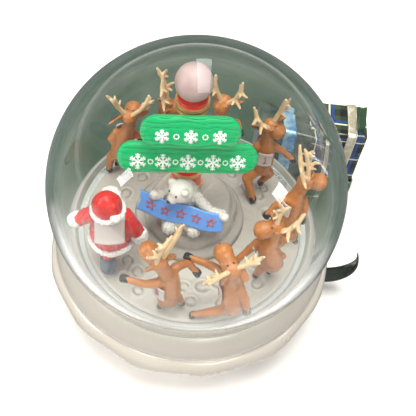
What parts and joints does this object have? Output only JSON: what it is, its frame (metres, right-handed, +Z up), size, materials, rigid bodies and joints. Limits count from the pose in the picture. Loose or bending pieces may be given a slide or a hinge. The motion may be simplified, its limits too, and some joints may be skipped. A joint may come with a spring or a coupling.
{
  "type": "snow globe",
  "caption": "Musical snow globe: glass ball over a snowy base, with a turning race of reindeer round a signpost, driven by a wind-up music movement in the base.",
  "frame": {"origin": "on the ground plane, at the centre of the circle of felt pads and on the dome's axis", "axes": "+Z up along the dome's axis, +Y to the back, -Y towards the viewer, +X to the viewer's right"},
  "size_m": [0.1402, 0.1347, 0.13],
  "materials": {
    "glass_clear": "clear polished",
    "collar_white": "glossy",
    "gasket_clear": "soft",
    "snow_white": "glossy hand painted",
    "cover_white": "satin",
    "steel": "plated",
    "felt": "felt",
    "tartan_dark": "painted dark tartan",
    "cream_gold": "painted cream with gold",
    "foil_blue": "pearly blue",
    "ribbon_green": "painted dark green",
    "gold_leaf": "painted gold",
    "curl_black": "glossy black green",
    "pole_red": "painted",
    "frost_pink": "frosted",
    "sign_green": "painted",
    "bear_white": "fur texture",
    "banner_blue": "painted",
    "santa_red": "painted",
    "bib_white": "painted",
    "deer_brown": "painted",
    "brass": "machined",
    "fan_white": "moulded",
    "zinc": "cast"
  },
  "bodies": {
    "base": {"glass_dome": "glass_clear", "base_collar": "collar_white", "dome_gasket": "gasket_clear", "snow_base": "snow_white", "bottom_cover": "cover_white", "cover_screws": "steel", "felt_pads": "felt", "gift_parcel": "tartan_dark", "parcel_ribbon": "cream_gold", "parcel_band": "foil_blue", "parcel_sash": "ribbon_green", "parcel_bow_tail": "ribbon_green", "ribbon_curl": "curl_black", "gear_posts": "brass", "music_comb": "steel", "movement_plate": "zinc", "shaft_bush": "brass", "movement_screws": "steel", "comb_screws": "steel"},
    "turntable": {"turntable_plate": "collar_white", "snow_mound": "snow_white", "pole_post": "pole_red", "pole_rings": "gold_leaf", "pole_ball": "frost_pink", "sign_upper": "sign_green", "sign_lower": "sign_green", "polar_bear": "bear_white", "banner": "banner_blue", "santa": "santa_red", "santa_bib": "bib_white", "reindeer_1": "deer_brown", "reindeer_2": "deer_brown", "reindeer_3": "deer_brown", "reindeer_4": "deer_brown", "reindeer_5": "deer_brown", "reindeer_6": "deer_brown", "reindeer_7": "deer_brown", "reindeer_8": "deer_brown", "race_bibs": "bib_white", "spring_barrel": "brass", "mainspring": "steel", "drive_shaft": "steel", "drive_gear": "brass"},
    "music_cylinder": {"pinned_cylinder": "brass"},
    "idler": {"idler_wheel": "brass"},
    "governor": {"governor_fan": "fan_white"},
    "winding_key": {"winding_arbor": "steel", "winding_key": "brass"}
  },
  "joints": [
    {"name": "turntable_spin", "type": "hinge", "parent": "base", "child": "turntable", "pos_m": [0, 0, 0.043], "axis": [0, 0, 1], "continuous": true},
    {"name": "cylinder_spin", "type": "hinge", "parent": "base", "child": "music_cylinder", "pos_m": [0.0262, 0, 0.0264], "axis": [1, 0, 0], "continuous": true},
    {"name": "idler_spin", "type": "hinge", "parent": "base", "child": "idler", "pos_m": [-0.01474, -0.01032, 0.0264], "axis": [0, 0, 1], "continuous": true},
    {"name": "governor_spin", "type": "hinge", "parent": "base", "child": "governor", "pos_m": [-0.02722, -0.00312, 0.022], "axis": [0, 0, 1], "continuous": true},
    {"name": "key_wind", "type": "hinge", "parent": "base", "child": "winding_key", "pos_m": [0, 0, 0.005], "axis": [0, 0, 1], "continuous": true}
  ],
  "couplings": [
    {"joint": "cylinder_spin", "follows": "turntable_spin", "ratio": 4},
    {"joint": "idler_spin", "follows": "turntable_spin", "ratio": -4},
    {"joint": "governor_spin", "follows": "turntable_spin", "ratio": 20}
  ]
}
